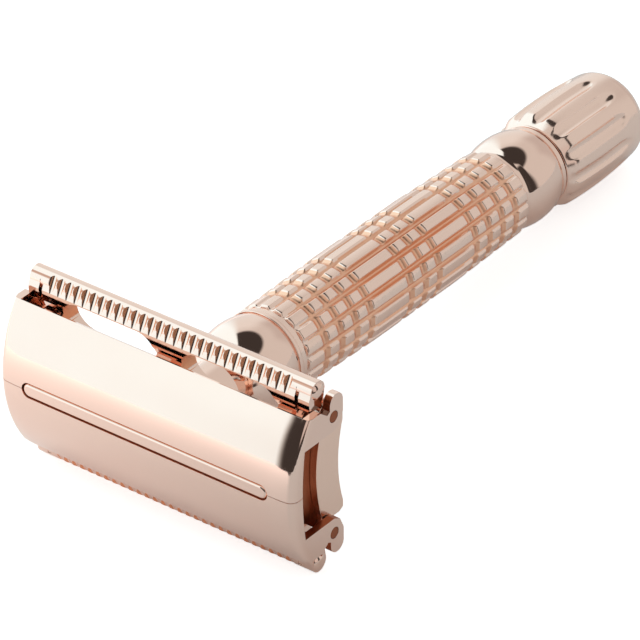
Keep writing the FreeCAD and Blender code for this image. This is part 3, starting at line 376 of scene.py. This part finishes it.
def arc(start, end, bulge, steps):
    """Points between two (depth, radius) points on a curve of that radius, bulging outwards."""
    a, b = Vector(start), Vector(end)
    chord = b - a
    half = chord.length / 2
    normal = Vector((-chord.y, chord.x)).normalized()
    if normal.y < 0:
        normal = -normal
    centre = (a + b) / 2 - normal * math.sqrt(bulge * bulge - half * half)
    first = math.atan2(a.y - centre.y, a.x - centre.x)
    last = math.atan2(b.y - centre.y, b.x - centre.x)
    return [centre + bulge * Vector((math.cos(first + (last - first) * k / steps),
                                     math.sin(first + (last - first) * k / steps))) for k in range(steps + 1)]


print("an eased corner has", len(eased([(0, 0, 0), (1, 0, 0.2), (1, 1, 0)])) - 2, "points")

# %% Helpers for spins
def lathe(points, sectors):
    """Spins a profile of (depth, radius) points in millimetres round the handle's axis."""
    shape = bmesh.new()
    row = [shape.verts.new((0, depth * MM, radius * MM)) for depth, radius in points]
    edges = [shape.edges.new(pair) for pair in zip(row, row[1:])]
    bmesh.ops.spin(shape, geom=row + edges, cent=(0, 0, 0), axis=(0, 1, 0), angle=2 * math.pi,
                   steps=sectors, use_merge=True)
    bmesh.ops.remove_doubles(shape, verts=shape.verts, dist=1e-7)
    return shape


def lay_down(shape):
    """Puts a shape drawn along the handle where the razor lies, with its faces outwards."""
    bmesh.ops.transform(shape, matrix=LIE_DOWN, verts=shape.verts)
    bmesh.ops.recalc_face_normals(shape, faces=shape.faces)


print("spun shapes lean with the handle:", tuple(round(v, 4) for v in along))

# %% [markdown]
# ### Collar
#
# The collar hides the screw that holds the guard. Its dome grows out of the boss behind the guard,
# ends at a fine step, and a plain rim meets the barrel.

# %% Collar
AROUND = 160        # steps of a plain spin
BOSS, STEP, RIM, BARREL = 12.9, 21.1, 21.4, 22.1       # depths along the handle in mm
BORE, SPIGOT_BORE, SPIGOT_FLOOR = 2.6, 3.2, 15.9
dome = arc((BOSS, 3.6), (STEP, 5.55), 9, 28)
rim = eased([(STEP, 5.55, 0), (STEP, 5.4, 0.05), (RIM, 5.4, 0.05), (RIM, 5.65, 0.15),
             (BARREL, 5.65, 0.25), (BARREL, SPIGOT_BORE, 0), (SPIGOT_FLOOR, SPIGOT_BORE, 0),
             (SPIGOT_FLOOR, BORE, 0), (BOSS, BORE, 0)])
collar_profile = [Vector((BOSS, BORE))] + dome + rim[1:]
collar = lathe(collar_profile, AROUND)
lay_down(collar)
piece = finished(collar, "handle_collar", ROSE_GOLD, 24, turned=True)
print("collar:", len(piece.data.polygons), "faces")

# %% [markdown]
# ### Barrel
#
# The grip is cut twice: lengthwise grooves all round, and three bands of round grooves across them.
# All of them are the mark of a round-nosed tool, so their walls curve, and in each one the whole room
# is squeezed into a few bright and dark spots. A spin gives an even grid. We slide its columns so that
# they lie close together at each groove, and press every corner in by the depth of the groove there.

# %% Grooves of the barrel
NECK_END, KNURL, BARREL_END, TAPER = 23.0, 23.4, 65.7, 13.5
R_NECK, R_END, R_MIDDLE, END_ROUND = 5.35, 5.67, 5.96, 0.4
FLUTES, FLUTE_WIDTH, FLUTE_FLOOR = 18, 0.9, 5.39
RING_WIDTH, RING_DEPTH, RING_PITCH, LIP = 1.2, 0.28, 2.72, 0.1
BANDS = ((26.3, 4), (42.0, 3), (54.8, 4))
rings = [first + k * RING_PITCH for first, count in BANDS for k in range(count)]
ring_steps = (0, 0.11, 0.22, 0.33, 0.43, 0.52, 0.6, 0.68, 0.78, 0.94)      # mm beside a round groove
flute_steps = (0, 0.09, 0.18, 0.27, 0.35, 0.42, 0.48, 0.56, 0.7)           # mm beside a lengthwise one


def full_radius(depth):
    """Radius of the barrel before it is cut."""
    if depth < KNURL:
        rise = max(depth - NECK_END, 0) / (KNURL - NECK_END)
        return R_NECK + (R_END - R_NECK) * math.sqrt(max(1 - (1 - rise) ** 2, 0))
    if depth > BARREL_END - END_ROUND:
        return R_END - END_ROUND + math.sqrt(max(END_ROUND ** 2 - (depth - BARREL_END + END_ROUND) ** 2, 0))
    return R_END + (R_MIDDLE - R_END) * min(depth - KNURL, BARREL_END - depth, TAPER) / TAPER


def larger(a, b):
    """The larger of two values, with a soft change from one to the other."""
    return (a + b + math.sqrt((a - b) ** 2 + LIP ** 2)) / 2


def groove(distance, width, deep):
    """Depth of a round-bottomed groove at that distance from its middle."""
    return deep * max(1 - (2 * distance / width) ** 2, -1)


print(FLUTES, "lengthwise grooves and", len(rings), "round ones")

# %% Stations along the barrel
stations = {BARREL, NECK_END - 0.02, BARREL_END}
stations |= {NECK_END + (KNURL - NECK_END) * k / 6 for k in range(7)}
stations |= {BARREL_END - END_ROUND + END_ROUND * math.sin(math.pi * k / 12) for k in range(6)}
for ring in rings:
    stations |= {ring + side * d for d in ring_steps for side in (1, -1)}
between = [KNURL + 0.5 + k * 0.8 for k in range(52)]
stations |= {s for s in between if s < BARREL_END - 0.6 and all(abs(s - ring) > 1.2 for ring in rings)}
stations = sorted(stations)
print(len(stations), "stations along the barrel")

# %% Barrel
sector = 2 * math.pi / FLUTES
half_sector = sector / 2
columns = [d / R_MIDDLE for d in flute_steps] + [half_sector]
columns = columns + [sector - c for c in reversed(columns[1:-1])]
per_sector = len(columns)
outside = [Vector((s, full_radius(s))) for s in stations]
inside_wall = [Vector((BARREL_END, SPIGOT_BORE)), Vector((BARREL, SPIGOT_BORE))]
barrel = lathe(outside + inside_wall + [outside[0]], FLUTES * per_sector)
step = sector / per_sector
for corner in barrel.verts:
    depth = corner.co.y / MM
    radius = math.hypot(corner.co.x, corner.co.z) / MM
    index = round((math.atan2(corner.co.x, corner.co.z) % (2 * math.pi)) / step)
    angle = sector * (index // per_sector) + columns[index % per_sector]
    if radius > 4 and depth > NECK_END:
        away = (angle + half_sector) % sector - half_sector
        flute = groove(away * R_MIDDLE, FLUTE_WIDTH, max(radius - FLUTE_FLOOR, 0.02))
        ring = max(groove(depth - r, RING_WIDTH, RING_DEPTH) for r in rings)
        radius -= larger(larger(flute, ring), 0)
    corner.co = (radius * MM * math.sin(angle), corner.co.y, radius * MM * math.cos(angle))
# Faces deep in the grooves get the groove metal: duller, and painted red for the shade and warm bounce light
# there.
for face in barrel.faces:
    middle = face.calc_center_median() / MM
    near_ring = min(abs(middle.y - ring) for ring in rings) < RING_WIDTH / 2
    deep = full_radius(middle.y) - math.hypot(middle.x, middle.z)
    face.material_index = int((0.08 if near_ring else 0.3) < deep < 2)
lay_down(barrel)
piece = finished(barrel, "handle_barrel", GRIP, 60, turned=True)
piece.data.materials.append(GROOVES_WARM_SHADE)
print("barrel:", len(piece.data.polygons), "faces")

# %% [markdown]
# ### Bead
#
# Between barrel and knob sits a bead with a narrow neck on either side. Its swell is gentle; the
# slopes to the necks are what turn from white to black in the reflection.

# %% Bead
SPIGOT, BEAD_START, BEAD_END, BEAD_BACK, BEAD_BORE = 64.4, 67.1, 72.7, 73.8, 2.58
spigot_and_neck = eased([(SPIGOT, BEAD_BORE, 0), (SPIGOT, SPIGOT_BORE, 0), (BARREL_END, SPIGOT_BORE, 0),
                         (BARREL_END, 5.15, 0.1), (66.4, 5.15, 0.3), (BEAD_START, 5.45, 0)])
swell = arc((BEAD_START, 5.45), (BEAD_END, 5.45), 9.8, 24)
back_and_bore = eased([(BEAD_END, 5.45, 0), (73.1, 5.25, 0.15), (BEAD_BACK, 5.25, 0.1),
                       (BEAD_BACK, BEAD_BORE, 0), (SPIGOT, BEAD_BORE, 0)])
bead = lathe(spigot_and_neck[:-1] + swell + back_and_bore[1:], AROUND)
lay_down(bead)
piece = finished(bead, "handle_end_bead", ROSE_GOLD, 24, turned=True)
print("bead:", len(piece.data.polygons), "faces")

# %% [markdown]
# ### Knob
#
# The knob is a rounded barrel with twelve round-bottomed flutes, the mark of a ball-nosed cutter that
# follows the swell and stops short of the end. Polishing has softened the lips of the flutes: where
# land and flute meet, the same soft change as on the barrel is used.

# %% Flutes of the knob
KNOB, KNOB_END, KNOB_R, KNOB_PEAK, SWELL = 73.95, HANDLE_LENGTH / MM, 6.35, 80.4, 71
KNOB_FLUTES, CUTTER, SUNK, CUT_END, LEAVE = 12, 1.15, 0.5, 83.75, 0.38      # LEAVE: how fast the cut ends
SHOULDER, END_CURVE, BORE_END, KNOB_BORE = 2.6, 2.2, 84.0, 2.5


def knob_radius(depth):
    """Radius of the knob's long swell."""
    return KNOB_R - SWELL + math.sqrt(SWELL ** 2 - (depth - KNOB_PEAK) ** 2)


def fluted(depth, radius, away):
    """Radius at that angle from the middle of a flute, after the flute is cut."""
    middle = knob_radius(depth) - SUNK + CUTTER
    past = max(depth - CUT_END, 0) * LEAVE
    reach = CUTTER ** 2 - (middle * math.sin(away)) ** 2 - past ** 2
    cut = radius - middle * math.cos(away) + math.sqrt(reach) if reach > 0 else -1
    return radius - larger(cut, 0)


print(f"{KNOB_FLUTES} flutes, {KNOB_R - fluted(KNOB_PEAK, KNOB_R, 0):.2f} mm deep")

# %% Knob
shoulder = eased([(KNOB, 4.4, 0), (KNOB, 5.3, 0.25), (KNOB + 1.45, knob_radius(KNOB + 1.45), 0.7),
                  (KNOB + SHOULDER, knob_radius(KNOB + SHOULDER), 0)], 6)
depths = [KNOB + SHOULDER + 0.3 * k for k in range(1, 40)]
side = [Vector((d, knob_radius(d))) for d in depths if d < KNOB_END - END_CURVE - 0.05]
round_start = Vector((KNOB_END - END_CURVE, knob_radius(KNOB_END - END_CURVE)))
nose = [round_start + END_CURVE * Vector((math.sin(t), math.cos(t) - 1))
        for t in [math.pi / 2 * k / 14 for k in range(15)]]
knob_outer = shoulder + side + nose + [Vector((KNOB_END, 2.0)), Vector((KNOB_END, 0))]
knob_inner = [Vector(point) for point in ((BORE_END, 0), (BORE_END, KNOB_BORE), (74.5, KNOB_BORE),
                                          (74.5, 4.4), (KNOB, 4.4))]
knob = lathe(knob_outer + knob_inner, KNOB_FLUTES * 32)
sector = 2 * math.pi / KNOB_FLUTES
for corner in knob.verts:
    depth, radius = corner.co.y / MM, math.hypot(corner.co.x, corner.co.z) / MM
    if radius > 4.5 and depth < KNOB_END - 1.6:
        angle = math.atan2(corner.co.x, corner.co.z)
        away = (angle + sector / 2) % sector - sector / 2
        radius = fluted(depth, radius, away)
        corner.co = (radius * MM * math.sin(angle), corner.co.y, radius * MM * math.cos(angle))
lay_down(knob)
piece = finished(knob, "knob", GRIP, 30, turned=True)
print("knob:", len(piece.data.polygons), "faces")

# %% [markdown]
# ## Inner works
#
# Tray, bush, spindle, rod, rings and washers are hidden while the razor is closed. Some show when
# the doors open, so they get smooth copies and their own metals too. The tray is polished in front,
# where the blade lies, and on its back. Its ends are painted dark red: painted shade of the deep
# pockets at the ends of the head. The back edge of each end flange is drawn out to a wedge, a sheet
# of that painted shade which closes the view past the end bracket.

# %% Tray
WEDGE = 2.9     # width of the flange's back edge to what it is in the model
tray = merged_copy("blade_tray")
flange_edge = max((HOME @ corner.co).y for corner in tray.verts) - 0.1 * MM
for corner in tray.verts:
    place = HOME @ corner.co
    if place.y > flange_edge:
        corner.co = LIE_DOWN @ Vector((place.x, place.y, place.z * WEDGE))
# The tray's ends get the dark red metal: painted shade.
set_slot(tray, lambda area, middle, normal: abs(normal.x) > 0.5)
piece = finished(tray, "blade_tray", ROSE_GOLD, SMOOTH)
piece.data.materials.append(INSIDE_SHADE)
print("blade_tray:", len(piece.data.polygons), "faces")

# %% Inner pieces
for part, metal_used in (("guide_bush", BRASS), ("spindle", BRASS), ("stop_ring", BRASS), ("lift_rod", STEEL),
                         ("thrust_washer", STEEL), ("spring_washer", STEEL)):
    piece = finished(merged_copy(part), part, metal_used, SMOOTH)
    print(f"{part}: {metal_used.name}")

# %% [markdown]
# ## Table
#
# A plain pale table top. The camera sees it as white paper: an emission that camera and glossy rays
# meet is added to its diffuse white, so the soft shadow under the razor stays. For the mirrors the
# paper is brighter on the window's side, and the pool of light has a soft edge.

# %% Paper of the table
table_material = bpy.data.materials.new("white_table")
table_material.use_nodes = True
tree = table_material.node_tree
tree.nodes.remove(tree.nodes["Principled BSDF"])
path = node(tree, "ShaderNodeLightPath")
spot = node(tree, "ShaderNodeVectorMath", [(0, node(tree, "ShaderNodeTexCoord").outputs["Object"]),
                                           (1, (-0.94, -0.34, 0))], operation="DOT_PRODUCT")
pool = node(tree, "ShaderNodeMapRange", [("Value", spot.outputs["Value"]), ("From Min", 0.0),
                                         ("From Max", 0.12), ("To Min", 0.05), ("To Max", 1.0)])
mirrored = node(tree, "ShaderNodeMath", [(0, path.outputs["Is Glossy Ray"]), (1, pool.outputs[0])],
                operation="MULTIPLY")
glow = node(tree, "ShaderNodeMath", [(0, path.outputs["Is Camera Ray"]), (1, 0.7), (2, mirrored.outputs[0])],
            operation="MULTIPLY_ADD")
paper = node(tree, "ShaderNodeBsdfDiffuse", [("Color", (0.84, 0.84, 0.84, 1))])
hue = node(tree, "ShaderNodeMix", [("Factor", path.outputs["Is Glossy Ray"]), (6, (1, 1, 1, 1)),
                                   (7, (1, 0.94, 0.93, 1))], data_type="RGBA")
shine = node(tree, "ShaderNodeEmission", [("Color", hue.outputs[2]), ("Strength", glow.outputs[0])])
both = node(tree, "ShaderNodeAddShader", [(0, paper.outputs[0]), (1, shine.outputs[0])])
tree.links.new(both.outputs[0], tree.nodes["Material Output"].inputs["Surface"])
print("paper:", len(tree.nodes), "nodes")

# %% Table top
TABLE_RADIUS = 0.16
table_shape = bmesh.new()
bmesh.ops.create_circle(table_shape, cap_ends=True, segments=96, radius=TABLE_RADIUS)
table_mesh = bpy.data.meshes.new("table_top")
table_shape.to_mesh(table_mesh)
table_shape.free()
table_mesh.materials.append(table_material)
table_top = bpy.data.objects.new("table_top", table_mesh)
bpy.context.scene.collection.objects.link(table_top)
table_top.location.z = -0.02 * MM        # a hair below the lowest point of the razor
print("table top:", round(2 * TABLE_RADIUS, 2), "m across")

# %% [markdown]
# ## Studio
#
# A mirror needs a room. The room is painted on the world with soft-edged cards, each one a patch of
# the sphere between two bearings and two heights: a large bright window on the left of the razor, a
# dark ceiling ahead of it, and the dark shape of a person behind the camera. A group makes one
# card, and the cards are laid over each other from back to front.

# %% Node group: card
card, given, result = new_group(
    "card", [("Direction", "NodeSocketVector", None), ("Bearing", "NodeSocketFloat", 0.0),
             ("Half width", "NodeSocketFloat", 30.0), ("Low", "NodeSocketFloat", 0.0),
             ("High", "NodeSocketFloat", 60.0), ("Soft", "NodeSocketFloat", 8.0)],
    [("Mask", "NodeSocketFloat")])
bearing = node(card, "ShaderNodeMath", [(0, given.outputs["Bearing"])], operation="RADIANS")
turned = node(card, "ShaderNodeVectorRotate", [("Vector", given.outputs["Direction"]),
                                               ("Angle", bearing.outputs[0])], rotation_type="Z_AXIS")
parts = node(card, "ShaderNodeSeparateXYZ", [("Vector", turned.outputs[0])])
sideways = node(card, "ShaderNodeMath", [(0, parts.outputs["X"]), (1, parts.outputs["Y"])],
                operation="ARCTAN2")
sideways = node(card, "ShaderNodeMath", [(0, sideways.outputs[0])], operation="DEGREES")
sideways = node(card, "ShaderNodeMath", [(0, sideways.outputs[0])], operation="ABSOLUTE")
height = node(card, "ShaderNodeMath", [(0, parts.outputs["Z"])], operation="ARCSINE")
height = node(card, "ShaderNodeMath", [(0, height.outputs[0])], operation="DEGREES")


def inside(first, second):
    """1 where first is well below second, 0 where it is above, soft between."""
    gap = node(card, "ShaderNodeMath", [(0, second), (1, first)], operation="SUBTRACT")
    scaled = node(card, "ShaderNodeMath", [(0, gap.outputs[0]), (1, given.outputs["Soft"])],
                  operation="DIVIDE")
    return node(card, "ShaderNodeMapRange", [("Value", scaled.outputs[0]), ("From Min", -0.5),
                                             ("From Max", 0.5)], interpolation_type="SMOOTHSTEP").outputs[0]


within = inside(sideways.outputs[0], given.outputs["Half width"])
for limit in (inside(given.outputs["Low"], height.outputs[0]),
              inside(height.outputs[0], given.outputs["High"])):
    within = node(card, "ShaderNodeMath", [(0, within), (1, limit)], operation="MULTIPLY").outputs[0]
card.links.new(within, result.inputs["Mask"])
print("card group:", len(card.nodes), "nodes")

# %% The cards
WALLS = (0.70, 0.73, 0.72, 1)
DARK = (0.05, 0.046, 0.044, 1)
CARDS = (   # bearing clockwise from +Y, half width, low, high, softness, colour
    ("wall by the window", -48, 26, -40, 47, 26, (0.86, 0.95, 0.96, 1)),
    ("wall ahead", 0, 20, -30, 30, 16, (0.60, 0.60, 0.59, 1)),
    ("window", -102, 50, -35, 80, 12, (1.08, 1.42, 1.55, 1)),
    ("wall above", -150, 30, 34, 62, 10, (0.63, 0.52, 0.45, 1)),
    ("ceiling", 8, 60, 51, 100, 6, DARK),
    ("flag", 80, 11, -6, 62, 8, DARK),
    ("right wall", 112, 22, -40, 40, 10, (0.68, 0.66, 0.64, 1)),
    ("rear wall", 175, 50, 36, 68, 8, (0.78, 0.70, 0.64, 1)),
    ("person", 168, 39, -14, 33, 8, DARK),
    ("stand", 120, 20, -14, 3, 6, DARK),
)
print("studio cards:", ", ".join(c[0] for c in CARDS))

# %% World of cards
world = bpy.data.worlds.new("studio")
bpy.context.scene.world = world
world.use_nodes = True
tree = world.node_tree
direction = node(tree, "ShaderNodeTexCoord").outputs["Generated"]
colour = None
for name, bearing, half_width, low, high, soft, paint in CARDS:
    patch = node(tree, "ShaderNodeGroup", [], node_tree=card, label=name)
    tree.links.new(direction, patch.inputs["Direction"])
    for socket, value in (("Bearing", bearing), ("Half width", half_width), ("Low", low), ("High", high),
                          ("Soft", soft)):
        patch.inputs[socket].default_value = value
    over = node(tree, "ShaderNodeMix", [("Factor", patch.outputs["Mask"]), (6, colour or WALLS), (7, paint)],
                data_type="RGBA")
    colour = over.outputs[2]
room = tree.nodes["Background"]
tree.links.new(colour, room.inputs["Color"])
white = node(tree, "ShaderNodeBackground", [("Color", (1, 1, 1, 1)), ("Strength", 1.0)])
path = node(tree, "ShaderNodeLightPath")
choice = node(tree, "ShaderNodeMixShader", [(0, path.outputs["Is Camera Ray"]), (1, room.outputs[0]),
                                            (2, white.outputs[0])])
tree.links.new(choice.outputs[0], tree.nodes["World Output"].inputs["Surface"])
print("world:", len(tree.nodes), "nodes")

# %% [markdown]
# ## Camera
#
# A long lens from the front right, a little over half a metre away, looking down at the razor. The
# camera is tilted four degrees about its own line of sight.

# %% Camera
AIM = Vector((-5.336, -6.831, 3.723)) * MM
AZIMUTH, ELEVATION, ROLL = math.radians(39.963), math.radians(36.321), math.radians(-4.054)
DISTANCE, LENS = 570.9 * MM, 274.34
back = Vector((math.sin(AZIMUTH) * math.cos(ELEVATION), -math.cos(AZIMUTH) * math.cos(ELEVATION),
               math.sin(ELEVATION)))
level = Vector((0, 0, 1)).cross(back).normalized()
right = Matrix.Rotation(ROLL, 3, back) @ level
camera_data = bpy.data.cameras.new("camera")
camera_data.sensor_width, camera_data.lens = 36, LENS
camera_data.clip_start, camera_data.clip_end = 0.05, 10
camera = bpy.data.objects.new("camera", camera_data)
bpy.context.scene.collection.objects.link(camera)
turn = Matrix((right, back.cross(right), back)).transposed().to_4x4()
camera.matrix_world = Matrix.Translation(AIM + back * DISTANCE) @ turn
bpy.context.scene.camera = camera
bpy.context.scene.view_settings.view_transform = "Standard"
print("camera at", [round(v, 3) for v in camera.matrix_world.translation])
